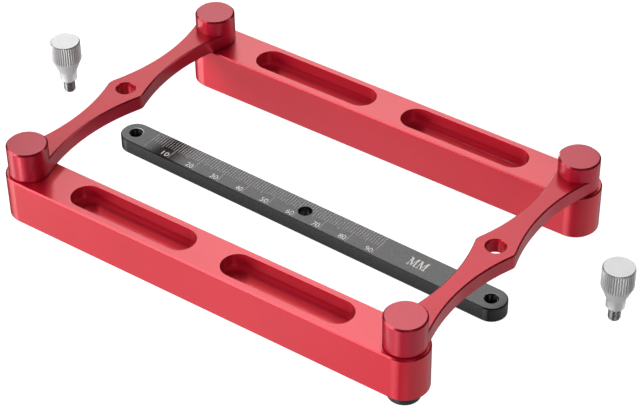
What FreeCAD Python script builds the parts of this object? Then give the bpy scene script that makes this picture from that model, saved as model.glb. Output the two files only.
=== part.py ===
"""Self centering doweling jig, loosely laid out with its scale bar and thumb screws taken off.

Two long rails and two short links make a parallelogram that swings flat about four
pivots. Clamped over the edge of a board, the rails press on its two faces and the
middles of the links stay half way between them, so a bar screwed under the links
carries its guide hole along the centre line of the board.

Frame: origin on the axis of the guide hole, on the bench; +X along the rails to the
right, +Y from the front rail to the rear rail, +Z up. All lengths are millimetres.
"""
import FreeCAD, Part
import Sketcher
import math
import os

# ---------------------------------------------------------------- driving dimensions
SIZES = (
    # the parallelogram
    ("pivot_pitch", 137.0, "pivot to pivot along a rail, and hole to hole along the bar"),
    ("link_pitch", 88.5, "pivot to pivot along a link"),
    ("link_lean", 2.96, "degrees that the links lean to the right of square"),
    # rails
    ("rail_width", 15.0, "across a rail, and the diameter of its round ends"),
    ("rail_height", 15.5, "underside to top of a rail"),
    ("rail_edge_break", 0.4, "chamfer on the long edges"),
    ("pocket_length", 45.4, "a finger pocket from end to end"),
    ("pocket_width", 10.4, "a finger pocket from side to side"),
    ("pocket_depth", 5.8, "a finger pocket below the top"),
    ("pocket_web", 10.9, "solid left between the two pockets"),
    ("pocket_floor_round", 2.0, "radius round the floor of a pocket"),
    # links
    ("link_thickness", 4.85, "plate of a link"),
    ("link_waist", 5.6, "width of the plate at its narrowest"),
    ("link_tip_round", 3.0, "radius on the two points beside the eye"),
    ("link_edge_break", 0.4, "chamfer on the top edges of the plate"),
    ("boss_diameter", 12.9, "round boss over each pivot"),
    ("boss_height", 10.05, "underside of the link to the closed top of a boss"),
    ("boss_edge_break", 0.5, "chamfer round the top of a boss"),
    ("eye_diameter", 6.1, "hole half way along a link"),
    ("eye_edge_break", 0.25, "chamfer round the top of the eye"),
    # pivots
    ("shoulder_diameter", 6.0, "ground shoulder of a pivot screw"),
    ("pivot_thread_diameter", 5.0, "threaded end of a pivot screw"),
    ("pivot_thread_length", 6.5, "threaded end of a pivot screw"),
    ("head_diameter", 10.0, "low cylinder head of a pivot screw"),
    ("head_height", 4.15, "low cylinder head of a pivot screw"),
    ("head_edge_break", 0.3, "chamfer round the head"),
    ("head_setback", 0.4, "how far a sunk head stays inside the underside of its rail"),
    ("head_side_clearance", 0.5, "room around a sunk head, on the radius"),
    ("socket_width", 4.0, "hexagon socket across flats"),
    ("socket_depth", 2.3, "hexagon socket"),
    ("bush_wall", 1.0, "wall of the plain bush pressed into a rail"),
    ("washer_diameter", 11.4, "thrust washer between a rail and a link"),
    ("washer_thickness", 0.25, "thrust washer between a rail and a link"),
    ("running_clearance", 0.03, "round a shoulder in its bush, on the radius"),
    ("washer_clearance", 0.15, "round a shoulder in its washer, on the radius"),
    ("thrust_clearance", 0.04, "end float on each side of a rail"),
    ("thread_clearance", 0.05, "round a threaded end in its hole, on the radius"),
    ("thread_run_out", 1.0, "blind hole left past a threaded end"),
    # scale bar
    ("bar_width", 10.0, "across the bar, and the diameter of its round ends"),
    ("bar_thickness", 5.25, "the bar"),
    ("bar_edge_break", 0.35, "chamfer on the edges of the bar"),
    ("bar_hole_break", 0.5, "chamfer round the mouths of the end holes"),
    ("bar_offset", 1.2, "how far the loose bar lies behind the centre line"),
    ("bar_turn", 1.67, "degrees clockwise that the loose bar lies out of square"),
    ("guide_hole_diameter", 4.6, "guide hole in the middle of the bar"),
    # thumb screws
    ("stud_diameter", 3.9, "steel stud of a thumb screw"),
    ("stud_free_length", 4.2, "stud that shows under the collar"),
    ("stud_seat_length", 6.0, "stud that is set into the knob"),
    ("stud_lead", 0.5, "chamfer that starts the thread of a stud"),
    ("collar_diameter", 5.8, "plain collar that fits the eye of a link"),
    ("collar_length", 3.9, "plain collar"),
    ("collar_edge_break", 0.9, "chamfer under the collar"),
    ("knob_diameter", 10.0, "knurled knob over the tops of its ribs"),
    ("knob_cone_length", 5.1, "cone between the collar and the knurl"),
    ("knurl_length", 6.7, "knurled part of the knob"),
    ("knurl_land", 0.05, "step from the rim of the cone in to the ribs, and from the valleys to the core"),
    ("knurl_depth", 0.35, "groove between two ribs"),
    ("knurl_count", 40, "ribs round the knob"),
    ("knob_edge_break", 0.4, "chamfered rim left above the ribs of the knurl"),
    ("left_knob_x", -106.5, "where the left thumb screw stands"),
    ("left_knob_y", 13.2, "where the left thumb screw stands"),
    ("right_knob_x", 99.9, "where the right thumb screw stands"),
    ("right_knob_y", 16.0, "where the right thumb screw stands"),
)

doc = FreeCAD.newDocument("doweling_jig")
sizes = doc.addObject("Spreadsheet::Sheet", "sizes")
for row, (size_name, size_value, size_note) in enumerate(SIZES, start=1):
    sizes.set("A%d" % row, size_name.replace("_", " "))
    sizes.set("B%d" % row, str(size_value))
    sizes.set("C%d" % row, size_note)
    sizes.setAlias("B%d" % row, size_name)
doc.recompute()

# Lengths that follow from the driving dimensions, as expressions of the sheet.
RAIL_BASE = "(sizes.head_height + sizes.thrust_clearance)"
LINK_BASE = "(%s + sizes.rail_height + sizes.washer_thickness + sizes.thrust_clearance)" % RAIL_BASE
RECESS_DEPTH = "(sizes.head_height + sizes.head_setback)"
BUSH_BORE = "(sizes.shoulder_diameter / 2 + sizes.running_clearance)"
BUSH_OUTSIDE = "(%s + sizes.bush_wall)" % BUSH_BORE
BOSS_RADIUS = "(sizes.boss_diameter / 2)"
HALF_WAIST = "(sizes.link_waist / 2)"
# Radius of the hollow sides of a link: narrowest at a quarter of the link's length
# from each pivot line, and running smoothly into the round of the boss.
WAIST_RADIUS = ("(((sizes.link_pitch / 4) ^ 2 - %s ^ 2 + %s ^ 2) / (2 * (%s - %s)))"
                % (BOSS_RADIUS, HALF_WAIST, BOSS_RADIUS, HALF_WAIST))
HOLLOW_CENTRE = "(%s + %s)" % (WAIST_RADIUS, HALF_WAIST)
HALF_SHEAR = "(sizes.link_pitch * sin(sizes.link_lean) / 2)"
HALF_GAP = "(sizes.link_pitch * cos(sizes.link_lean) / 2)"

Z_UP = FreeCAD.Vector(0, 0, 1)
TOLERANCE = 1e-4


# ------------------------------------------------------------------ modelling helpers
def size_of(expression):
    """Value of an expression of the sheet, as a plain number."""
    return float(sizes.evalExpression(expression))


def new_body(label):
    body = doc.addObject("PartDesign::Body", label)
    body.Label = label
    return body


def new_sketch(body, name, role="XY_Plane", height=None):
    """Sketch on one of the body's own planes, or that plane raised by an expression."""
    plane = [item for item in body.Origin.OriginFeatures if item.Role == role][0]
    sketch = body.newObject("Sketcher::SketchObject", name)
    sketch.AttachmentSupport = [(plane, "")]
    sketch.MapMode = "FlatFace"
    if height is not None:
        sketch.setExpression("AttachmentOffset.Base.z", height)
    return sketch


def constrain(sketch, kind, *references, value=None):
    """Add a constraint; a value is an expression of the sheet that it stays bound to."""
    if value is None:
        return sketch.addConstraint(Sketcher.Constraint(kind, *references))
    index = sketch.addConstraint(Sketcher.Constraint(kind, *references, size_of(value)))
    sketch.setExpression("Constraints[%d]" % index, value)
    return index


def place_point(sketch, geometry, vertex, across, along):
    """Hold a vertex at two expressions of the sheet, measured from the origin."""
    for kind, axis, value in (("DistanceX", -2, across), ("DistanceY", -1, along)):
        if value == "0":
            constrain(sketch, "PointOnObject", geometry, vertex, axis)
        else:
            constrain(sketch, kind, -1, 1, geometry, vertex, value=value)


def draw_circle(sketch, radius, across="0", along="0"):
    centre = FreeCAD.Vector(size_of(across), size_of(along), 0)
    circle = sketch.addGeometry(Part.Circle(centre, Z_UP, size_of(radius)))
    place_point(sketch, circle, 3, across, along)
    constrain(sketch, "Radius", circle, value=radius)


def draw_polygon(sketch, corners):
    """Closed outline of straight lines through corners given as pairs of expressions."""
    points = [FreeCAD.Vector(size_of(x), size_of(y), 0) for x, y in corners]
    lines = [sketch.addGeometry(Part.LineSegment(start, end))
             for start, end in zip(points, points[1:] + points[:1])]
    for line, following in zip(lines, lines[1:] + lines[:1]):
        constrain(sketch, "Coincident", line, 2, following, 1)
    for line, (across, along) in zip(lines, corners):
        place_point(sketch, line, 1, across, along)


def draw_slot(sketch, radius, left, right):
    """Slot with round ends whose centres lie on the X axis at two expressions."""
    reach = size_of(radius)
    ends = []
    for centre, first, last in ((left, 90, 270), (right, -90, 90)):
        middle = FreeCAD.Vector(size_of(centre), 0, 0)
        full = Part.Circle(middle, Z_UP, reach)
        arc = sketch.addGeometry(Part.ArcOfCircle(full, math.radians(first), math.radians(last)))
        place_point(sketch, arc, 3, centre, "0")
        ends.append((arc, middle))
    (left_arc, left_middle), (right_arc, right_middle) = ends
    side = FreeCAD.Vector(0, reach, 0)
    lower = sketch.addGeometry(Part.LineSegment(left_middle - side, right_middle - side))
    upper = sketch.addGeometry(Part.LineSegment(right_middle + side, left_middle + side))
    constrain(sketch, "Tangent", left_arc, 2, lower, 1)
    constrain(sketch, "Tangent", lower, 2, right_arc, 1)
    constrain(sketch, "Tangent", right_arc, 2, upper, 1)
    constrain(sketch, "Tangent", upper, 2, left_arc, 1)
    constrain(sketch, "Radius", left_arc, value=radius)


def pad(body, sketch, length, name="plate"):
    feature = body.newObject("PartDesign::Pad", name)
    feature.Profile = sketch
    feature.setExpression("Length", length)
    doc.recompute()
    return feature


def pocket(body, sketch, name, depth=None, upward=False):
    """Cut a sketch to a depth, or right through when no depth is given."""
    before = body.Shape.Volume
    feature = body.newObject("PartDesign::Pocket", name)
    feature.Profile = sketch
    feature.Reversed = upward
    if depth is None:
        feature.Type = "ThroughAll"
    else:
        feature.setExpression("Length", depth)
    doc.recompute()
    if body.Shape.Volume > before - TOLERANCE:
        raise RuntimeError("%s of %s cuts nothing" % (name, body.Label))
    return feature


def revolve(body, sketch, name):
    feature = body.newObject("PartDesign::Revolution", name)
    feature.Profile = sketch
    feature.ReferenceAxis = (sketch, ["V_Axis"])
    feature.Angle = 360
    doc.recompute()
    return feature


def dress(body, kind, size, wanted, name):
    """Fillet or chamfer, by an expression, every edge of the body that wanted accepts."""
    edges = ["Edge%d" % number for number, edge in enumerate(body.Shape.Edges, start=1)
             if wanted(edge)]
    if not edges:
        raise RuntimeError("%s of %s finds no edge" % (name, body.Label))
    base = body.Tip
    feature = body.newObject("PartDesign::" + kind, name)
    feature.Base = (base, edges)
    feature.setExpression("Radius" if kind == "Fillet" else "Size", size)
    doc.recompute()
    return feature


def lies_at(edge, height):
    """True for an edge that lies flat at a height."""
    box = edge.BoundBox
    return abs(box.ZMin - height) < TOLERANCE and abs(box.ZMax - height) < TOLERANCE


def round_edge(edge, radius):
    """True for an edge that is an arc or circle of a radius."""
    return hasattr(edge.Curve, "Radius") and abs(edge.Curve.Radius - radius) < TOLERANCE


def put(body, across="0", along="0", up="0", turn="0"):
    """Place a body by expressions: three lengths, and a turn about +Z in degrees."""
    body.Placement = FreeCAD.Placement(FreeCAD.Vector(), FreeCAD.Rotation(Z_UP, 0))
    for part, value in (("Base.x", across), ("Base.y", along), ("Base.z", up),
                        ("Rotation.Angle", turn)):
        if value != "0":
            body.setExpression("Placement." + part, value)
    doc.recompute()


# Pivot lines of the four corners, seen from above.
PIVOTS = {
    "front_left": ("-sizes.pivot_pitch / 2 - " + HALF_SHEAR, "-sizes.bar_offset - " + HALF_GAP),
    "front_right": ("sizes.pivot_pitch / 2 - " + HALF_SHEAR, "-sizes.bar_offset - " + HALF_GAP),
    "rear_left": ("-sizes.pivot_pitch / 2 + " + HALF_SHEAR, "-sizes.bar_offset + " + HALF_GAP),
    "rear_right": ("sizes.pivot_pitch / 2 + " + HALF_SHEAR, "-sizes.bar_offset + " + HALF_GAP),
}
LOCKED_CORNER = "front_right"


# ------------------------------------------------------------------------------ rails
def make_rail(label, shift, along, sunk_heads):
    """Milled bar with round ends, two finger pockets in its top and a bore at each end.

    sunk_heads lists the ends, as signs of X, whose screw head is let into the underside.
    """
    body = new_body(label)
    outline = new_sketch(body, label + "_outline")
    draw_slot(outline, "sizes.rail_width / 2", "-sizes.pivot_pitch / 2", "sizes.pivot_pitch / 2")
    pad(body, outline, "sizes.rail_height")
    top = size_of("sizes.rail_height")
    dress(body, "Chamfer", "sizes.rail_edge_break",
          lambda edge: lies_at(edge, 0) or lies_at(edge, top), label + "_edge_break")

    pockets = new_sketch(body, label + "_pocket_outline", height="sizes.rail_height")
    pocket_end = "sizes.pocket_width / 2"
    inner = "(sizes.pocket_web / 2 + %s)" % pocket_end
    outer = "(sizes.pocket_web / 2 + sizes.pocket_length - %s)" % pocket_end
    draw_slot(pockets, pocket_end, inner, outer)
    draw_slot(pockets, pocket_end, "-" + outer, "-" + inner)
    pocket(body, pockets, label + "_pockets", "sizes.pocket_depth")
    floor = size_of("sizes.rail_height - sizes.pocket_depth")
    dress(body, "Fillet", "sizes.pocket_floor_round",
          lambda edge: lies_at(edge, floor), label + "_pocket_floor_round")

    bores = new_sketch(body, label + "_bore_outline", height="sizes.rail_height")
    for side in ("-", ""):
        draw_circle(bores, BUSH_OUTSIDE, side + "sizes.pivot_pitch / 2")
    pocket(body, bores, label + "_bores")

    recesses = new_sketch(body, label + "_recess_outline")
    for side in sunk_heads:
        draw_circle(recesses, "sizes.head_diameter / 2 + sizes.head_side_clearance",
                    side + "sizes.pivot_pitch / 2")
    pocket(body, recesses, label + "_head_recesses", RECESS_DEPTH, upward=True)
    put(body, shift, along, RAIL_BASE)
    return body


# ------------------------------------------------------------------------------ links
def make_link(label, across):
    """Waisted plate with a closed boss over each pivot and a hole half way along."""
    body = new_body(label)
    outline = new_sketch(body, label + "_outline")
    draw_link_outline(outline)
    pad(body, outline, "sizes.link_thickness")
    dress(body, "Fillet", "sizes.link_tip_round", upright_at_eye, label + "_tips")
    top = size_of("sizes.link_thickness")
    dress(body, "Chamfer", "sizes.link_edge_break",
          lambda edge: lies_at(edge, top), label + "_edge_break")

    bosses = new_sketch(body, label + "_boss_outline", height="sizes.link_thickness / 2")
    for side in ("-", ""):
        draw_circle(bosses, BOSS_RADIUS, "0", side + "sizes.link_pitch / 2")
    pad(body, bosses, "sizes.boss_height - sizes.link_thickness / 2", label + "_bosses")
    boss_top = size_of("sizes.boss_height")
    dress(body, "Chamfer", "sizes.boss_edge_break",
          lambda edge: lies_at(edge, boss_top), label + "_boss_edge_break")

    threads = new_sketch(body, label + "_thread_outline")
    for side in ("-", ""):
        draw_circle(threads, "sizes.pivot_thread_diameter / 2 + sizes.thread_clearance",
                    "0", side + "sizes.link_pitch / 2")
    pocket(body, threads, label + "_thread_holes",
           "sizes.pivot_thread_length + sizes.thread_run_out", upward=True)

    eye = new_sketch(body, label + "_eye_outline", height="sizes.link_thickness")
    draw_circle(eye, "sizes.eye_diameter / 2")
    pocket(body, eye, label + "_eye")
    eye_radius = size_of("sizes.eye_diameter / 2")
    dress(body, "Chamfer", "sizes.eye_edge_break",
          lambda edge: round_edge(edge, eye_radius) and lies_at(edge, top), label + "_eye_edge_break")
    put(body, across, "-sizes.bar_offset", LINK_BASE, "-sizes.link_lean")
    return body


def draw_link_outline(sketch):
    """Round ends joined by four hollow arcs, which meet in a point on each side of the eye.

    A hollow arc is narrowest a quarter of the way along, where its centre lies level.
    """
    boss = size_of(BOSS_RADIUS)
    hollow = size_of(WAIST_RADIUS)
    quarter = size_of("sizes.link_pitch / 4")
    reach = size_of(HOLLOW_CENTRE)
    meeting = math.atan2(quarter, reach)
    point = math.asin(quarter / hollow)

    def arc(centre_x, centre_y, radius, first, last):
        circle = Part.Circle(FreeCAD.Vector(centre_x, centre_y, 0), Z_UP, radius)
        return sketch.addGeometry(Part.ArcOfCircle(circle, first, last))

    far_end = arc(0, 2 * quarter, boss, -meeting, math.pi + meeting)
    near_end = arc(0, -2 * quarter, boss, math.pi - meeting, 2 * math.pi + meeting)
    far_right = arc(reach, quarter, hollow, math.pi - meeting, math.pi + point)
    far_left = arc(-reach, quarter, hollow, -point, meeting)
    near_right = arc(reach, -quarter, hollow, math.pi - point, math.pi + meeting)
    near_left = arc(-reach, -quarter, hollow, -meeting, point)

    place_point(sketch, far_end, 3, "0", "sizes.link_pitch / 2")
    place_point(sketch, near_end, 3, "0", "-sizes.link_pitch / 2")
    constrain(sketch, "Radius", far_end, value=BOSS_RADIUS)
    constrain(sketch, "Radius", near_end, value=BOSS_RADIUS)
    constrain(sketch, "Tangent", far_end, 1, far_right, 1)
    constrain(sketch, "Tangent", far_end, 2, far_left, 2)
    constrain(sketch, "Tangent", near_end, 1, near_left, 1)
    constrain(sketch, "Tangent", near_end, 2, near_right, 2)
    place_point(sketch, far_right, 3, HOLLOW_CENTRE, "sizes.link_pitch / 4")
    place_point(sketch, far_left, 3, "-" + HOLLOW_CENTRE, "sizes.link_pitch / 4")
    constrain(sketch, "PointOnObject", far_right, 2, -1)
    constrain(sketch, "PointOnObject", far_left, 1, -1)
    constrain(sketch, "Coincident", near_right, 1, far_right, 2)
    constrain(sketch, "Coincident", near_left, 2, far_left, 1)
    for near in (near_right, near_left):
        constrain(sketch, "DistanceY", -1, 1, near, 3, value="-sizes.link_pitch / 4")


def upright_at_eye(edge):
    """True for the two upright edges where the hollow sides meet beside the eye."""
    box = edge.BoundBox
    return box.YLength < TOLERANCE and abs(box.YMin) < TOLERANCE and box.ZLength > TOLERANCE


# ----------------------------------------------------------------------------- pivots
def make_pivot_screw(corner, kind, shoulder):
    """Shoulder screw, head down: its thread grips the boss and its shoulder is the pivot.

    Its own zero is the underside of the link, where the shoulder ends.
    """
    label = corner + "_" + kind
    body = new_body(label)
    head_top = "-" + shoulder
    head_bottom = "(-%s - sizes.head_height)" % shoulder
    head = "(sizes.head_diameter / 2)"
    thread = "(sizes.pivot_thread_diameter / 2)"
    profile = new_sketch(body, label + "_profile", "XZ_Plane")
    draw_polygon(profile, (
        ("0", head_bottom),
        (head + " - sizes.head_edge_break", head_bottom),
        (head, head_bottom + " + sizes.head_edge_break"),
        (head, head_top),
        ("sizes.shoulder_diameter / 2", head_top),
        ("sizes.shoulder_diameter / 2", "0"),
        (thread, "0"),
        (thread, "sizes.pivot_thread_length"),
        ("0", "sizes.pivot_thread_length"),
    ))
    revolve(body, profile, label + "_turned")

    socket = new_sketch(body, label + "_socket_outline", height=head_bottom)
    corner_out = "(sizes.socket_width / sqrt(3))"
    draw_polygon(socket, (
        (corner_out, "0"),
        (corner_out + " / 2", "sizes.socket_width / 2"),
        ("-" + corner_out + " / 2", "sizes.socket_width / 2"),
        ("-" + corner_out, "0"),
        ("-" + corner_out + " / 2", "-sizes.socket_width / 2"),
        (corner_out + " / 2", "-sizes.socket_width / 2"),
    ))
    pocket(body, socket, label + "_socket", "sizes.socket_depth", upward=True)
    across, along = PIVOTS[corner]
    put(body, across, along, LINK_BASE)
    return body


def make_ring(label, corner, outside, inside, length, up):
    """Plain ring round a pivot, from a height up to that height plus its length."""
    body = new_body(label)
    section = new_sketch(body, label + "_section")
    draw_circle(section, outside)
    draw_circle(section, inside)
    pad(body, section, length, label + "_ring")
    across, along = PIVOTS[corner]
    put(body, across, along, up)
    return body


def make_pivot(corner):
    """Screw, bush and thrust washer of one corner."""
    locked = corner == LOCKED_CORNER
    recess = "0" if locked else RECESS_DEPTH
    stack = "sizes.rail_height + sizes.washer_thickness + 2 * sizes.thrust_clearance"
    shoulder = "(%s - %s)" % (stack, recess)
    make_pivot_screw(corner, "lock_screw" if locked else "pivot_screw", shoulder)
    make_ring(corner + "_bush", corner, BUSH_OUTSIDE, BUSH_BORE,
              "sizes.rail_height - " + recess, "%s + %s" % (RAIL_BASE, recess))
    make_ring(corner + "_thrust_washer", corner, "sizes.washer_diameter / 2",
              "sizes.shoulder_diameter / 2 + sizes.washer_clearance",
              "sizes.washer_thickness", LINK_BASE + " - sizes.washer_thickness")


# -------------------------------------------------------------------------- guide bar
def make_guide_bar(label):
    """Flat bar with round ends, a threaded hole at each end and the guide hole between."""
    body = new_body(label)
    outline = new_sketch(body, label + "_outline")
    draw_slot(outline, "sizes.bar_width / 2", "-sizes.pivot_pitch / 2", "sizes.pivot_pitch / 2")
    pad(body, outline, "sizes.bar_thickness")
    top = size_of("sizes.bar_thickness")
    dress(body, "Chamfer", "sizes.bar_edge_break",
          lambda edge: lies_at(edge, 0) or lies_at(edge, top), label + "_edge_break")

    thread = "(sizes.stud_diameter / 2 + sizes.thread_clearance)"
    holes = new_sketch(body, label + "_hole_outline", height="sizes.bar_thickness")
    draw_circle(holes, "sizes.guide_hole_diameter / 2")
    for side in ("-", ""):
        draw_circle(holes, thread, side + "sizes.pivot_pitch / 2")
    pocket(body, holes, label + "_holes")
    rim = size_of(thread)
    dress(body, "Chamfer", "sizes.bar_hole_break", lambda edge: round_edge(edge, rim),
          label + "_end_hole_mouths")
    put(body, turn="-sizes.bar_turn")
    return body


# ----------------------------------------------------------------------- thumb screws
def make_thumb_stud(label, across, along):
    """Threaded stud, standing on its tip."""
    body = new_body(label)
    stud = "(sizes.stud_diameter / 2)"
    length = "(sizes.stud_free_length + sizes.stud_seat_length)"
    profile = new_sketch(body, label + "_profile", "XZ_Plane")
    draw_polygon(profile, (
        ("0", "0"),
        (stud + " - sizes.stud_lead", "0"),
        (stud, "sizes.stud_lead"),
        (stud, length),
        ("0", length),
    ))
    revolve(body, profile, label + "_turned")
    put(body, across, along)
    return body


def make_thumb_knob(label, across, along):
    """Turned knob: a collar that fits the eye of a link, a cone and a straight knurl.

    The core stands above the ribs, so a smooth chamfered rim is left on top.
    """
    body = new_body(label)
    stud = "(sizes.stud_diameter / 2)"
    collar = "(sizes.collar_diameter / 2)"
    outside = "(sizes.knob_diameter / 2)"
    ribs = "(%s - sizes.knurl_land)" % outside
    valley = "(%s - sizes.knurl_depth)" % ribs
    core = "(%s - sizes.knurl_land)" % valley
    foot = "sizes.stud_free_length"
    cone = "(%s + sizes.collar_length)" % foot
    knurl = "(%s + sizes.knob_cone_length)" % cone
    top = "(%s + sizes.knurl_length)" % knurl
    seat = "(%s + sizes.stud_seat_length)" % foot
    profile = new_sketch(body, label + "_profile", "XZ_Plane")
    draw_polygon(profile, (
        (stud, foot),
        (collar + " - sizes.collar_edge_break", foot),
        (collar, foot + " + sizes.collar_edge_break"),
        (collar, cone),
        (outside, knurl),
        (core, knurl),
        (core, "%s - sizes.knob_edge_break" % top),
        (core + " - sizes.knob_edge_break", top),
        ("0", top),
        ("0", seat),
        (stud, seat),
    ))
    revolve(body, profile, label + "_turned")

    # One rib of the knurl, with radial flanks where the next rib joins it, then the rest.
    rib = new_sketch(body, label + "_rib_outline", height=knurl)
    half_rib = "(180 / sizes.knurl_count)"
    root = "(%s / 2)" % core
    draw_polygon(rib, (
        (ribs, "0"),
        ("%s * cos(%s)" % (valley, half_rib), "%s * sin(%s)" % (valley, half_rib)),
        ("%s * cos(%s)" % (root, half_rib), "%s * sin(%s)" % (root, half_rib)),
        ("%s * cos(%s)" % (root, half_rib), "-%s * sin(%s)" % (root, half_rib)),
        ("%s * cos(%s)" % (valley, half_rib), "-%s * sin(%s)" % (valley, half_rib)),
    ))
    first = pad(body, rib, "sizes.knurl_length - sizes.knob_edge_break", label + "_rib")
    knurling = body.newObject("PartDesign::PolarPattern", label + "_knurling")
    knurling.Originals = [first]
    knurling.Axis = (rib, ["N_Axis"])
    knurling.Angle = 360
    knurling.setExpression("Occurrences", "sizes.knurl_count")
    body.Tip = knurling
    doc.recompute()
    put(body, across, along)
    return body


# ---------------------------------------------------------------------- the whole jig
make_rail("front_rail", "-" + HALF_SHEAR, "-sizes.bar_offset - " + HALF_GAP, ("-",))
make_rail("rear_rail", HALF_SHEAR, "-sizes.bar_offset + " + HALF_GAP, ("-", ""))
make_link("left_link", "-sizes.pivot_pitch / 2")
make_link("right_link", "sizes.pivot_pitch / 2")
for pivot_corner in PIVOTS:
    make_pivot(pivot_corner)
make_guide_bar("guide_bar")
for hand in ("left", "right"):
    place = ("sizes.%s_knob_x" % hand, "sizes.%s_knob_y" % hand)
    make_thumb_knob(hand + "_thumb_knob", *place)
    make_thumb_stud(hand + "_thumb_stud", *place)
doc.recompute()

# ------------------------------------------------------------------ checks and export
for item in doc.Objects:
    if "Invalid" in item.State or "Error" in item.State:
        raise RuntimeError("%s failed: %s" % (item.Label, item.State))
bodies = [item for item in doc.Objects if item.TypeId == "PartDesign::Body"]
for body in bodies:
    if body.Shape.isNull() or not body.Shape.isValid() or len(body.Shape.Solids) != 1:
        raise RuntimeError("%s is not one sound solid" % body.Label)

os.makedirs("parts", exist_ok=True)
for body in bodies:
    body.Shape.exportStep("parts/%s.step" % body.Label)
    print("%-32s %9.1f mm3" % (body.Label, body.Shape.Volume))
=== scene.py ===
import math

import bmesh
import bpy
from mathutils import Euler, Matrix, Vector


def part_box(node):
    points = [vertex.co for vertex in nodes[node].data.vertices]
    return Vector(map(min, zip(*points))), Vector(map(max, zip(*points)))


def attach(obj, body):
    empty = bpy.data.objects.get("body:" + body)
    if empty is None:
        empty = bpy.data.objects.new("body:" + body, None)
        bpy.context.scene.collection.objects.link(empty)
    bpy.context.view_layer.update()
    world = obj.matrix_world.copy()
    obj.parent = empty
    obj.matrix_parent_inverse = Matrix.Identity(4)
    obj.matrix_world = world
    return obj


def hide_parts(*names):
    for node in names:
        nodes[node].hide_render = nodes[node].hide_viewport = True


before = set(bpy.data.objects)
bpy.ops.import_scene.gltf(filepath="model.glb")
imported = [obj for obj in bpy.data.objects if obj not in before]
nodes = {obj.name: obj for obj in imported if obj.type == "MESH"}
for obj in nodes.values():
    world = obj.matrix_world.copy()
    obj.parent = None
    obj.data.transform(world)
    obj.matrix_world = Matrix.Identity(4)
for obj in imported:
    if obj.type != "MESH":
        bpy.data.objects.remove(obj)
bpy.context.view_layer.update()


# ---------------------------------------------------------------- the two long rails
# A rail is milled from a bar of aluminium, blasted satin and anodised red. Each turns
# on two pivots in its round ends and has two finger pockets milled in its top.
class Wire:
    """A value on its way through a node tree. Arithmetic on it adds the nodes for it."""

    def __init__(self, tree, socket=None):
        self.tree = tree
        self.socket = socket

    def node(self, kind, settings=None, sockets=None, output=0):
        made = self.tree.nodes.new(kind)
        for name, value in (settings or {}).items():
            setattr(made, name, value)
        for name, value in (sockets or {}).items():
            if isinstance(value, Wire):
                self.tree.links.new(value.socket, made.inputs[name])
            else:
                made.inputs[name].default_value = value
        return Wire(self.tree, made.outputs[output])

    def math(self, operation, *values):
        return self.node("ShaderNodeMath", {"operation": operation}, dict(enumerate(values)))

    def __add__(self, other):
        return self.math("ADD", self, other)

    def __sub__(self, other):
        return self.math("SUBTRACT", self, other)

    def __rsub__(self, other):
        return self.math("SUBTRACT", other, self)

    def __mul__(self, other):
        return self.math("MULTIPLY", self, other)

    def __truediv__(self, other):
        return self.math("DIVIDE", self, other)

    def __gt__(self, other):
        return self.math("GREATER_THAN", self, other)

    def __lt__(self, other):
        return self.math("LESS_THAN", self, other)

    __radd__ = __add__
    __rmul__ = __mul__


def new_material(name, **fixed):
    """A material, its shader with these sockets set, and the place on the piece in metres."""
    material = bpy.data.materials.new(name)
    material.use_nodes = True
    shader = material.node_tree.nodes["Principled BSDF"]
    for socket, value in fixed.items():
        shader.inputs[socket.replace("_", " ")].default_value = value
    return material, shader, Wire(material.node_tree).node("ShaderNodeTexCoord", output=3)


def plug(wire, shader, socket):
    wire.tree.links.new(wire.socket, shader.inputs[socket])


def dress(node, material):
    nodes[node].data.materials.clear()
    nodes[node].data.materials.append(material)


def noise(place, per_metre, detail):
    return place.node("ShaderNodeTexNoise", {}, {"Vector": place, "Scale": per_metre, "Detail": detail})


def mix_colour(amount, low, high):
    """Between a low and a high colour, each given as red, green and blue or as a wire."""
    low, high = (colour if isinstance(colour, Wire) else (*colour, 1.0) for colour in (low, high))
    return amount.node("ShaderNodeMix", {"data_type": "RGBA"}, {"Factor": amount, "A": low, "B": high}, 2)


def bump_from(height, strength, **under):
    sockets = {"Strength": strength, "Distance": 0.0001, "Height": height, **under}
    return height.node("ShaderNodeBump", {}, sockets)


def coordinates(place):
    """The three coordinates of a place, each on a wire of its own."""
    split = place.node("ShaderNodeSeparateXYZ", {}, {"Vector": place})
    return [Wire(place.tree, socket) for socket in split.socket.node.outputs]


def upward_share(place):
    """How far the surface faces up: one where it is level, nothing where it is upright."""
    facing = place.node("ShaderNodeTexCoord", output=1)
    return coordinates(facing)[2]


# Facing up more than the first share is level, less than the second is upright.
LEVEL = 0.93
UPRIGHT = 0.3


def broken_edge(place, lowest):
    """Whether a place is on an edge broken at a slant, above the lowest height."""
    upward = upward_share(place)
    return (upward > UPRIGHT) * (upward < LEVEL) * (coordinates(place)[2] > lowest)


def anodised(name, rough, deep, thin, seal, lowest):
    """Red dye, deep to thin, in an oxide skin on blasted aluminium, under a clear seal.

    Half the light comes back from the dye as from paint, half from the metal under it. The
    edges broken above the lowest height are cut bright, and there it is nearly all metal.
    The caller plugs in the dye and the share of metal.
    """
    material, shader, place = new_material(
        name, Coat_Weight=1.0, Coat_Roughness=0.22, Coat_IOR=seal, Specular_Tint=(0, 0, 0, 1))
    dye = mix_colour(noise(place, 55.0, 3.0), deep, thin)
    grain = noise(place, 5200.0, 1.0)
    is_edge = broken_edge(place, lowest)
    metal = 0.5 + 0.28 * is_edge
    plug(rough - 0.03 + 0.06 * grain - 0.06 * is_edge, shader, "Roughness")
    bump = bump_from(grain, 0.06)
    plug(bump, shader, "Normal")
    return material, shader, place, dye, metal, bump


RAIL_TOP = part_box("front_rail")[1].z
RAIL_EDGE = 0.0008
POCKET = {"inner": 0.01065, "outer": 0.04565, "half_width": 0.0052, "depth": 0.0058}
POCKET_RIM = 0.0003
POCKET_SKIN = 0.00005
# A lighter red inside the pockets: painted light for the light that falls into them.
POCKET_PAINTED_LIGHT = (0.56, 0.014, 0.036)
DULL_DEPTH = 0.00025


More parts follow.
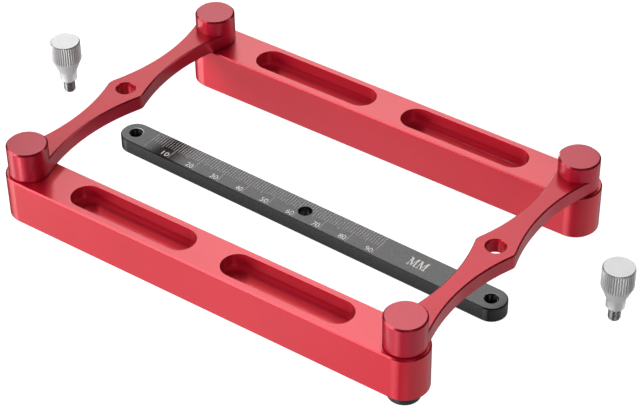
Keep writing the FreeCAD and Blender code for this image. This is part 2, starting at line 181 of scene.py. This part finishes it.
def pockets(place, box):
    """Whether a place is in a pocket, and how dull it is in the round along the floor."""
    across, along, up = coordinates(place)
    out = place.math("ABSOLUTE", across - (box[0].x + box[1].x) / 2)
    past_end = place.math("MAXIMUM", out - POCKET["outer"], POCKET["inner"] - out)
    past_end = place.math("MAXIMUM", past_end, 0.0)
    aside = along - (box[0].y + box[1].y) / 2
    from_wall = POCKET["half_width"] - place.math("SQRT", past_end * past_end + aside * aside)
    from_floor = up - (RAIL_TOP - POCKET["depth"])
    is_inside = (from_wall > -POCKET_SKIN) * (up < RAIL_TOP - POCKET_RIM)
    in_round = place.math("MAXIMUM", place.math("MINIMUM", from_wall, from_floor), 0.0)
    return is_inside, place.math("MINIMUM", in_round / DULL_DEPTH, 1.0)


for rail in ("front_rail", "rear_rail"):
    finish, shader, place, dye, metal, bump = anodised(
        "red_anodised_" + rail, rough=0.30, deep=(0.45, 0.003, 0.018), thin=(0.51, 0.005, 0.022),
        seal=1.55, lowest=RAIL_TOP - RAIL_EDGE)
    is_inside, dullness = pockets(place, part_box(rail))
    # Inside the pockets the lighter red is painted light.
    plug(mix_colour(is_inside, dye, POCKET_PAINTED_LIGHT), shader, "Base Color")
    plug(1.0 - dullness, shader, "Coat Weight")
    plug(metal * (1.0 - dullness), shader, "Metallic")
    dress(rail, finish)


# ------------------------------------------------------------- the two short links
# A link is a flat plate, hollowed in two curves each side, with a round boss turned at
# each end. The bosses are closed on top, and their faces keep the fine rings of the
# lathe. Turned boss faces and the drilled eye take the dye a little differently, and the
# faces that look up are painted a deeper red than the sides: painted shade.
BOSS_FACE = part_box("left_link")[1].z - 0.0001
BOSS_DYE = (0.36, 0.012, 0.030)
LEVEL_PAINTED_SHADE = (0.39, 0.004, 0.018)
EYE_DYE = (0.52, 0.003, 0.020)
EYE_WALL = 0.0032


def distance_from(place, centre):
    """Distance of a place from an upright line through this centre."""
    away = place.node("ShaderNodeVectorMath", {"operation": "SUBTRACT"}, {0: place, 1: (*centre, 0.0)})
    flat = place.node("ShaderNodeVectorMath", {"operation": "MULTIPLY"}, {0: away, 1: (1.0, 1.0, 0.0)})
    return place.node("ShaderNodeVectorMath", {"operation": "LENGTH"}, {0: flat}, 1)


def lathe_rings(outward, per_metre):
    return outward.node("ShaderNodeTexNoise", {"noise_dimensions": "1D"},
                        {"W": outward, "Scale": per_metre, "Detail": 2.0})


def middle(node):
    low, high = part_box(node)
    return (low.x + high.x) / 2, (low.y + high.y) / 2


for hand in ("left", "right"):
    link = hand + "_link"
    finish, shader, place, dye, metal, bump = anodised(
        "red_anodised_" + link, rough=0.33, deep=(0.36, 0.007, 0.026), thin=(0.42, 0.010, 0.030),
        seal=1.5, lowest=0.0)
    near, far = (distance_from(place, middle("%s_%s_thrust_washer" % (end, hand)))
                 for end in ("front", "rear"))
    rings = lathe_rings(place.math("MINIMUM", near, far), 2600.0)
    is_face = coordinates(place)[2] > BOSS_FACE
    is_level = upward_share(place) > LEVEL
    in_eye = distance_from(place, middle(link)) < EYE_WALL
    # Faces that look up take a deeper red: painted shade.
    dye = mix_colour(is_level, dye, LEVEL_PAINTED_SHADE)
    dye = mix_colour(in_eye, dye, EYE_DYE)
    plug(mix_colour(is_face, dye, BOSS_DYE), shader, "Base Color")
    plug(0.9 - 0.25 * is_level + 0.15 * is_face - 0.5 * in_eye, shader, "Coat Weight")
    plug(metal, shader, "Metallic")
    plug(bump_from(rings, is_face * 0.12, Normal=bump), shader, "Normal")
    dress(link, finish)


# -------------------------------------------------- pivots, bushes and thrust washers
# Three shoulder screws are sunk in the rails from below. The fourth, which locks the
# jig, stands proud under its corner. All four are blacked steel, in bronze bushes,
# with a plastic washer between each rail and link, coloured the dark red of the shade
# in the gap under the link: painted shade.
def plain_finish(name, dark, light, rough, metallic, per_metre=900.0):
    """One material all over, with a cloud in its colour and a grain in its surface."""
    material, shader, place = new_material(name, Metallic=metallic)
    grain = noise(place, per_metre, 2.0)
    plug(mix_colour(noise(place, per_metre / 12, 3.0), dark, light), shader, "Base Color")
    plug(rough - 0.05 + 0.1 * grain, shader, "Roughness")
    plug(bump_from(grain, 0.08), shader, "Normal")
    return material


blacked_steel = plain_finish("blacked_steel", (0.030, 0.031, 0.035), (0.055, 0.056, 0.060), 0.38, 0.9)
bronze = plain_finish("bush_bronze", (0.38, 0.22, 0.10), (0.52, 0.33, 0.17), 0.35, 1.0)
# The washers' dark red is painted shade: the shade in the gap under each link.
washer_gap_shade = plain_finish("washer_painted_gap_shade", (0.10, 0.004, 0.008), (0.14, 0.005, 0.010), 0.5, 0.0)
for name in nodes:
    for kind, finish in (("screw", blacked_steel), ("bush", bronze), ("washer", washer_gap_shade)):
        if kind in name:
            dress(name, finish)


# ------------------------------------------------------------------- the scale bar
# A flat steel bar, blacked and finely blasted, with a tapped hole at each end and the
# guide hole in its middle. Its millimetre scale is marked with a laser.
BAR_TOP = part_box("guide_bar")[1].z
BAR_TURN = Matrix.Rotation(math.radians(-1.67), 4, "Z")
END_HOLE = 0.0685
BAR_HOLES = ((-END_HOLE, 0.002), (0.0, 0.0), (END_HOLE, -0.002))
RIM_INSIDE, RIM_OUTSIDE = 0.0023, 0.0034


def grey(value):
    return value, value, value


bar_finish, shader, place = new_material(
    "black_blasted_bar", Roughness=0.6, Specular_IOR_Level=0.0, Coat_Roughness=0.22, Coat_IOR=1.62)
left, guide, right = (distance_from(place, centre) for centre in BAR_HOLES)
nearest = place.math("MINIMUM", place.math("MINIMUM", guide, left), right)
is_edge = broken_edge(place, 0.0)
painted_rim_highlight = is_edge * (nearest > RIM_INSIDE) * (nearest < RIM_OUTSIDE)
is_level = upward_share(place) > LEVEL
black = mix_colour(noise(place, 4200.0, 2.0), grey(0.001), grey(0.010))
# The broken rims round the holes are painted light grey: a painted highlight.
plug(mix_colour(painted_rim_highlight, black, grey(0.36)), shader, "Base Color")
# The coat is weighted as painted shine and shade: less toward the foot of the sides and on the broken edges,
# more on the top.
painted_sheen = 0.45 + 0.35 * coordinates(place)[2] / BAR_TOP + 0.10 * is_level - 0.55 * is_edge
plug(painted_sheen * (0.60 + 0.80 * noise(place, 1500.0, 4.0)), shader, "Coat Weight")
dress("guide_bar", bar_finish)


def finished(name, mesh, body, material, place=Matrix.Identity(4)):
    """An object at the origin whose place is in its mesh, riding on its body."""
    mesh.transform(place)
    mesh.materials.clear()
    mesh.materials.append(material)
    mesh.shade_smooth()
    mesh.set_sharp_from_angle(angle=math.radians(32))
    piece = bpy.data.objects.new(name, mesh)
    bpy.context.scene.collection.objects.link(piece)
    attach(piece, body)
    return piece


def new_tree(name, *sizes):
    """A Geometry Nodes tree with a blank to work on and a named input for each size."""
    tree = bpy.data.node_groups.new(name, "GeometryNodeTree")
    tree.interface.new_socket("Geometry", in_out="OUTPUT", socket_type="NodeSocketGeometry")
    tree.interface.new_socket("blank", in_out="INPUT", socket_type="NodeSocketGeometry")
    for size in sizes:
        tree.interface.new_socket(size, in_out="INPUT", socket_type="NodeSocketFloat")
    tree.interface.new_socket("finish", in_out="INPUT", socket_type="NodeSocketMaterial")
    entry = tree.nodes.new("NodeGroupInput")
    return tree, {name: Wire(tree, entry.outputs[name]) for name in ("blank", *sizes, "finish")}


def close_tree(tree, shape, finish):
    """Ends a tree: its shape made real, in its finish."""
    shape = shape.node("GeometryNodeRealizeInstances", {}, {"Geometry": shape})
    shape = shape.node("GeometryNodeSetMaterial", {}, {"Geometry": shape, "Material": finish})
    leave = tree.nodes.new("NodeGroupOutput")
    tree.links.new(shape.socket, leave.inputs[0])


def mesh_of(holder):
    """The mesh of an object with its modifiers run, the object itself taken away."""
    depsgraph = bpy.context.evaluated_depsgraph_get()
    mesh = bpy.data.meshes.new_from_object(holder.evaluated_get(depsgraph), depsgraph=depsgraph)
    bpy.data.objects.remove(holder)
    return mesh


def grown(tree, blank=None, **sizes):
    """Runs a tree on a blank with these sizes and gives the mesh that comes out of it."""
    holder = bpy.data.objects.new(tree.name, blank or bpy.data.meshes.new(tree.name))
    bpy.context.scene.collection.objects.link(holder)
    modifier = holder.modifiers.new(tree.name, "NODES")
    modifier.node_group = tree
    for item in tree.interface.items_tree:
        if item.in_out == "INPUT" and item.name in sizes:
            modifier[item.identifier] = sizes[item.name]
    return mesh_of(holder)


MILLIMETRE = 0.001
SCALE_START = -0.0617
MARK_HEIGHT = 0.00003
mark_grey = plain_finish("laser_ruled_grey", grey(0.46), grey(0.58), 0.6, 0.0)
mark_white = plain_finish("laser_mark_white", grey(0.78), (0.90, 0.90, 0.89), 0.6, 0.0)

# The ruled lines: 91 strokes along the back edge, cut away where the guide hole is.
ruled, size = new_tree("ruled_scale", "pitch", "width", "height", "back", "short", "five", "ten", "hole")
start = Wire(ruled)
count = start.node("GeometryNodeInputIndex")
left_over = start.math("MODULO", count, 10.0)
is_ten = start.math("COMPARE", left_over, 0.0, 0.1)
is_five = start.math("COMPARE", left_over, 5.0, 0.1)
front = size["short"] + (size["five"] - size["short"]) * is_five + (size["ten"] - size["short"]) * is_ten
length = size["back"] - front
spot = start.node("ShaderNodeCombineXYZ", {}, {"X": count * size["pitch"], "Y": size["back"] - length / 2})
line = start.node("GeometryNodeMeshLine", {}, {"Count": 91})
line = start.node("GeometryNodeSetPosition", {}, {"Geometry": line, "Position": spot})
stretch = start.node("ShaderNodeCombineXYZ", {}, {"X": size["width"], "Y": length, "Z": size["height"]})
stroke = start.node("GeometryNodeMeshCube", {}, {"Size": (1.0, 1.0, 1.0)})
marks = start.node("GeometryNodeInstanceOnPoints", {}, {"Points": line, "Instance": stroke, "Scale": stretch})
marks = start.node("GeometryNodeRealizeInstances", {}, {"Geometry": marks})
drill = start.node("GeometryNodeMeshCylinder", {}, {"Vertices": 48, "Radius": size["hole"], "Depth": 0.01})
drill = start.node("GeometryNodeTransform", {}, {"Geometry": drill, "Translation": (-SCALE_START, 0.0, 0.0)})
marks = start.node("GeometryNodeMeshBoolean", {"operation": "DIFFERENCE"}, {"Mesh 1": marks, "Mesh 2": drill})
close_tree(ruled, marks, size["finish"])
scale_mesh = grown(ruled, pitch=MILLIMETRE, width=0.00016, height=2 * MARK_HEIGHT, back=0.0046,
                   short=-0.0002, five=-0.0009, ten=-0.0044, hole=0.0026, finish=mark_grey)
finished("bar_scale", scale_mesh, "guide_bar", mark_grey,
         BAR_TURN @ Matrix.Translation((SCALE_START, 0, BAR_TOP)))

FIGURE_WIDTH, FIGURE_HEIGHT = 0.00255, 0.0020
FIGURE_GAP = 0.0006
FIGURE_FOOT = -0.0041


def figures(text, width, height):
    """Plain figures as a thin mesh of this width and height, lower left at the origin."""
    curve = bpy.data.curves.new(text, "FONT")
    curve.body = text
    curve.extrude = 0.5
    curve.resolution_u = 4
    holder = bpy.data.objects.new(text, curve)
    bpy.context.scene.collection.objects.link(holder)
    mesh = mesh_of(holder)
    low = Vector([min(v.co[i] for v in mesh.vertices) for i in range(3)])
    high = Vector([max(v.co[i] for v in mesh.vertices) for i in range(3)])
    fit = Matrix.Diagonal((width / (high.x - low.x), height / (high.y - low.y), 2 * MARK_HEIGHT, 1))
    mesh.transform(fit @ Matrix.Translation((-low.x, -low.y, 0)))
    return mesh


for ten in range(10, 100, 10):
    corner = (SCALE_START + ten * MILLIMETRE - FIGURE_GAP - FIGURE_WIDTH, FIGURE_FOOT, BAR_TOP)
    finished("bar_figure_%d" % ten, figures(str(ten), FIGURE_WIDTH, FIGURE_HEIGHT), "guide_bar",
             mark_white, BAR_TURN @ Matrix.Translation(corner))

# The unit, in upright letters with a thin left leg, a thick right leg and flat feet.
M_OUTLINE = ((0.00, 0.00), (0.29, 0.00), (0.29, 0.06), (0.19, 0.06), (0.19, 0.80), (0.47, 0.00),
             (0.53, 0.00), (0.80, 0.80), (0.80, 0.06), (0.70, 0.06), (0.70, 0.00), (1.04, 0.00),
             (1.04, 0.06), (0.94, 0.06), (0.94, 0.94), (1.04, 0.94), (1.04, 1.00), (0.79, 1.00),
             (0.53, 0.24), (0.27, 1.00), (0.00, 1.00), (0.00, 0.94), (0.12, 0.94), (0.12, 0.06),
             (0.00, 0.06))
M_WIDTH, M_HEIGHT, M_SPACING = 0.0031, 0.0036, 1.10
unit = bmesh.new()
for shift in (0.0, M_SPACING):
    rim = [unit.verts.new((x + shift, y, 0.5)) for x, y in M_OUTLINE]
    face = unit.faces.new(rim)
    wall = bmesh.ops.extrude_face_region(unit, geom=[face])
    for vertex in wall["geom"]:
        if isinstance(vertex, bmesh.types.BMVert):
            vertex.co.z = -0.5
bmesh.ops.recalc_face_normals(unit, faces=unit.faces)
bmesh.ops.triangulate(unit, faces=unit.faces)
unit_mesh = bpy.data.meshes.new("bar_unit_mark")
unit.to_mesh(unit_mesh)
unit.free()
unit_fit = Matrix.Diagonal((M_WIDTH, M_HEIGHT, 2 * MARK_HEIGHT, 1))
finished("bar_unit_mark", unit_mesh, "guide_bar", mark_white,
         BAR_TURN @ Matrix.Translation((0.0391, -0.0019, BAR_TOP)) @ unit_fit)


def turned(profile, steps):
    """Closed solid of revolution about Z. Each ring is a radius, a height and whether it is cut."""
    solid = bmesh.new()
    cut = solid.verts.layers.float.new("cut")
    rings = []
    for radius, height, is_cut in profile:
        turn = [2 * math.pi * i / steps for i in range(steps if radius else 1)]
        ring = [solid.verts.new((radius * math.cos(a), radius * math.sin(a), height)) for a in turn]
        for vertex in ring:
            vertex[cut] = is_cut
        rings.append(ring)
    for low, high in zip(rings, rings[1:]):
        for i in range(steps):
            j = (i + 1) % steps
            corners = [low[i % len(low)], low[j % len(low)], high[j % len(high)], high[i % len(high)]]
            solid.faces.new(list(dict.fromkeys(corners)))
    mesh = bpy.data.meshes.new("turned")
    solid.to_mesh(mesh)
    solid.free()
    return mesh


# One tool for threads and knurls: it cuts vee grooves, straight or wound, in a turned blank.
grooving, size = new_tree("vee_grooving", "radius", "depth", "grooves", "turns_per_metre")
start = Wire(grooving)
across, along, up = coordinates(start.node("GeometryNodeInputPosition"))
outward = start.math("SQRT", across * across + along * along)
bearing = start.math("ARCTAN2", along, across) / (2 * math.pi)
phase = start.math("FRACT", bearing * size["grooves"] + up * size["turns_per_metre"])
crest = start.math("ABSOLUTE", phase - 0.5) * 2.0
is_cut = start.node("GeometryNodeInputNamedAttribute", {"data_type": "FLOAT"}, {"Name": "cut"})
floor_radius = size["radius"] - size["depth"] * (1.0 - crest) + (1.0 - is_cut)
shrink = start.math("MINIMUM", outward, floor_radius) / outward
moved = start.node("ShaderNodeCombineXYZ", {}, {"X": across * shrink, "Y": along * shrink, "Z": up})
cut_blank = start.node("GeometryNodeSetPosition", {}, {"Geometry": size["blank"], "Position": moved})
close_tree(grooving, cut_blank, size["finish"])

# The tapped end holes: a thin wall of thread in each.
THREAD_PITCH = 0.0007
THREAD_STEP = THREAD_PITCH / 10
HOLE = 0.00199
MOUTH = 0.0006
steps_up = [MOUTH + THREAD_STEP * i for i in range(int((BAR_TOP - 2 * MOUTH) / THREAD_STEP) + 1)]
wall = [(HOLE - 0.00001, height, 1.0) for height in reversed(steps_up)]
wall += [(HOLE, steps_up[0], 0.0), (HOLE, steps_up[-1], 0.0), wall[0]]
for side, across in (("left", -END_HOLE), ("right", END_HOLE)):
    thread = grown(grooving, turned(wall, 40), radius=HOLE, depth=0.00026, grooves=1.0,
                   turns_per_metre=1 / THREAD_PITCH, finish=bar_finish)
    finished("bar_%s_thread" % side, thread, "guide_bar", bar_finish,
             BAR_TURN @ Matrix.Translation((across, 0, 0)))


# ----------------------------------------------------------------- the thumb screws
# A knob is turned from rod and nickel plated: a plain collar that fits the eye of a
# link, a cone, and a straight knurl whose ribs run out down the cone. A blacked steel
# stud is pressed up into it, with a metric thread below the collar.
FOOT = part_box("left_thumb_knob")[0].z
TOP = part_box("left_thumb_knob")[1].z
COLLAR_RADIUS = 0.0029
COLLAR_TOP = FOOT + 0.0039
CONE_LENGTH = 0.0051
KNOB_RADIUS = 0.0050
CONE_FLARE = KNOB_RADIUS - COLLAR_RADIUS
GROOVE_DEPTH = 0.00035
RIBS = 40.0
STUD_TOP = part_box("left_thumb_stud")[1].z
STUD_RADIUS = 0.00195
STUD_TIP = 0.00145


def nickel(name, centre):
    """Plating over the lathe's rings round this centre, painted darker in the grooves of the knurl and on the
    broken rim of the top: painted shade.
    """
    material, shader, place = new_material(name, Metallic=1.0)
    outward = distance_from(place, centre)
    rings = lathe_rings(outward, 4200.0)
    is_side = upward_share(place) < UPRIGHT
    is_edge = broken_edge(place, TOP - 0.0006)
    up_cone = (coordinates(place)[2] - COLLAR_TOP) * (CONE_FLARE / CONE_LENGTH)
    skin = place.math("MINIMUM", COLLAR_RADIUS + up_cone, KNOB_RADIUS)
    sunk = place.math("MAXIMUM", (skin - outward) / GROOVE_DEPTH, 0.0)
    sunk = place.math("MINIMUM", sunk, 1.0) * is_side
    plating = mix_colour(noise(place, 220.0, 2.0), grey(0.47), grey(0.55))
    # Deeper in the grooves of the knurl the plating is painted darker: painted shade.
    plating = mix_colour(sunk, plating, grey(0.31))
    # The broken rim of the top is painted dark: painted shade.
    plug(mix_colour(is_edge, plating, grey(0.12)), shader, "Base Color")
    plug(0.44 + 0.10 * rings - 0.20 * is_edge + 0.16 * is_side, shader, "Roughness")
    plug(bump_from(rings, 0.10), shader, "Normal")
    return material


stud_steel = plain_finish("stud_steel", (0.13, 0.13, 0.135), (0.20, 0.20, 0.205), 0.36, 1.0, 2500.0)
knob_rings = (
    (0.0, FOOT, 0.0), (0.0020, FOOT, 1.0),
    (COLLAR_RADIUS, FOOT + 0.0009, 1.0), (COLLAR_RADIUS, COLLAR_TOP, 1.0),
    *((COLLAR_RADIUS + CONE_FLARE * i / 8, COLLAR_TOP + CONE_LENGTH * i / 8, 1.0) for i in range(1, 9)),
    (KNOB_RADIUS, TOP - 0.0033, 1.0), (KNOB_RADIUS, TOP - 0.0004, 1.0), (0.0048, TOP - 0.0002, 1.0),
    (0.0046, TOP, 1.0), (0.0030, TOP, 1.0), (0.0, TOP, 0.0))
stud_rings = (
    (0.0, 0.0, 0.0), (STUD_TIP, 0.0, 1.0),
    *((STUD_TIP + THREAD_STEP * i, THREAD_STEP * i, 1.0) for i in range(1, 7)),
    *((STUD_RADIUS, THREAD_STEP * i, 1.0) for i in range(7, 61)),
    (STUD_RADIUS, FOOT + 0.0001, 0.0), (STUD_RADIUS, STUD_TOP, 0.0), (0.0, STUD_TOP, 0.0))
for side in ("left", "right"):
    axis = middle(side + "_thumb_knob")
    place = Matrix.Translation((*axis, 0))
    body = side + "_thumb_screw"
    finish = nickel("bright_nickel_" + side, axis)
    knob = grown(grooving, turned(knob_rings, 320), radius=KNOB_RADIUS, depth=GROOVE_DEPTH, grooves=RIBS,
                 turns_per_metre=0.0, finish=finish)
    piece = finished(side + "_knurled_knob", knob, body, finish, place)
    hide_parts(side + "_thumb_knob")
    stud = grown(grooving, turned(stud_rings, 40), radius=STUD_RADIUS, depth=0.0003, grooves=1.0,
                 turns_per_metre=1 / THREAD_PITCH, finish=stud_steel)
    piece = finished(side + "_threaded_stud", stud, body, stud_steel, place)
    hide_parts(side + "_thumb_stud")


# ------------------------------------------------------------- the table and the light
# A plain white table that sweeps up at its far edge. Only the camera sees it, bright and
# without shadow: the light that such a table throws back comes from soft boxes of its own.
finish, shader, place = new_material(
    "white_shown_table", Roughness=0.9, Specular_IOR_Level=0.0, Emission_Strength=0.98,
    Emission_Color=(1.0, 1.0, 1.0, 1.0))
plug(mix_colour(noise(place, 3.0, 2.0), grey(0.25), grey(0.27)), shader, "Base Color")
TABLE_LEVEL = -0.0001
sweep = ((0.0, TABLE_LEVEL, 0.0), (2.4, TABLE_LEVEL, 0.0), (2.8, 0.08, 0.0), (3.1, 0.35, 0.0),
         (3.2, 0.8, 0.0), (3.2, 2.8, 0.0))
mesh = turned(sweep, 96)
mesh.flip_normals()
mesh.materials.append(finish)
mesh.shade_smooth()
shown_table = bpy.data.objects.new("shown_table", mesh)
bpy.context.scene.collection.objects.link(shown_table)
for kind in ("diffuse", "glossy", "transmission", "shadow"):
    setattr(shown_table, "visible_" + kind, False)

world = bpy.data.worlds.new("studio")
bpy.context.scene.world = world
world.use_nodes = True
world.node_tree.nodes["Background"].inputs["Strength"].default_value = 0.0

# Soft boxes, each as degrees round the table from its front, degrees up, watts and width.
# Those below the table's level stand for what the glossy white of a studio table throws back.
SOFT_BOXES = (
    (215.2, 65.0, 8.33, 0.9),
    (143.2, 42.0, 2.85, 0.9),
    (179.2, 42.0, 5.43, 0.9),
    (215.2, 42.0, 5.53, 0.9),
    (287.2, 42.0, 3.02, 0.9),
    (323.2, 42.0, 2.40, 0.9),
    (325.6, 38.8, 1.20, 0.3),
    (55.2, 22.0, 12.66, 0.9),
    (235.2, 22.0, 0.91, 0.9),
    (295.2, 22.0, 4.88, 0.9),
    (315.2, 22.0, 5.92, 0.9),
    (335.2, 22.0, 6.96, 0.9),
    (215.2, 7.0, 3.28, 0.9),
    (235.2, 7.0, 16.46, 0.9),
    (335.2, 7.0, 41.41, 0.9),
    (95.2, -10.0, 11.18, 0.7),
    (135.2, -10.0, 31.42, 0.7),
    (335.2, -10.0, 10.19, 0.7),
    (12.7, -25.0, 1.39, 0.7),
    (282.7, -25.0, 3.56, 0.7),
    (305.2, -25.0, 5.09, 0.7),
    (350.2, -25.0, 8.53, 0.7),
    (55.2, -40.0, 0.41, 0.7),
    (75.2, -40.0, 0.51, 0.7),
    (95.2, -40.0, 0.53, 0.7),
    (115.2, -40.0, 0.52, 0.7),
    (135.2, -40.0, 0.41, 0.7),
    (155.2, -40.0, 0.43, 0.7),
    (175.2, -40.0, 0.27, 0.7),
    (295.2, -40.0, 1.10, 0.7),
    (315.2, -40.0, 0.78, 0.7),
    (335.2, -40.0, 0.65, 0.7),
    (355.2, -40.0, 1.02, 0.7),
    (35.2, -55.0, 1.31, 0.9),
    (35.2, -84.0, 9.00, 2.4),
)
LIGHT_DISTANCE = 2.0
JIG_MIDDLE = Vector((0, 0, 0.015))
for number, (bearing, height, power, width) in enumerate(SOFT_BOXES, start=1):
    turn, rise = math.radians(bearing), math.radians(height)
    towards = Vector((math.sin(turn) * math.cos(rise), -math.cos(turn) * math.cos(rise), math.sin(rise)))
    light = bpy.data.lights.new("soft_box_%d" % number, "AREA")
    light.shape = "DISK"
    light.size = width
    light.energy = power
    box = bpy.data.objects.new("soft_box_%d" % number, light)
    box.matrix_world = (Matrix.Translation(towards * LIGHT_DISTANCE + JIG_MIDDLE)
                        @ towards.to_track_quat("Z", "Y").to_matrix().to_4x4())
    box.visible_camera = False
    bpy.context.scene.collection.objects.link(box)

# The camera looks down from the right front, a little tilted.
CAMERA_TURN, CAMERA_DOWN, CAMERA_TILT = 35.241, 39.753, -0.661
camera_data = bpy.data.cameras.new("camera")
camera_data.lens = 117.35
camera_data.shift_x = -0.0065
camera_data.shift_y = 0.0223
camera = bpy.data.objects.new("camera", camera_data)
aim = Euler((math.radians(90 - CAMERA_DOWN), 0, math.radians(CAMERA_TURN))).to_matrix().to_4x4()
camera.matrix_world = (Matrix.Translation((0.29175, -0.40281, 0.41596)) @ aim
                       @ Matrix.Rotation(math.radians(CAMERA_TILT), 4, "Z"))
bpy.context.scene.collection.objects.link(camera)
bpy.context.scene.camera = camera
bpy.context.scene.view_settings.view_transform = "Standard"
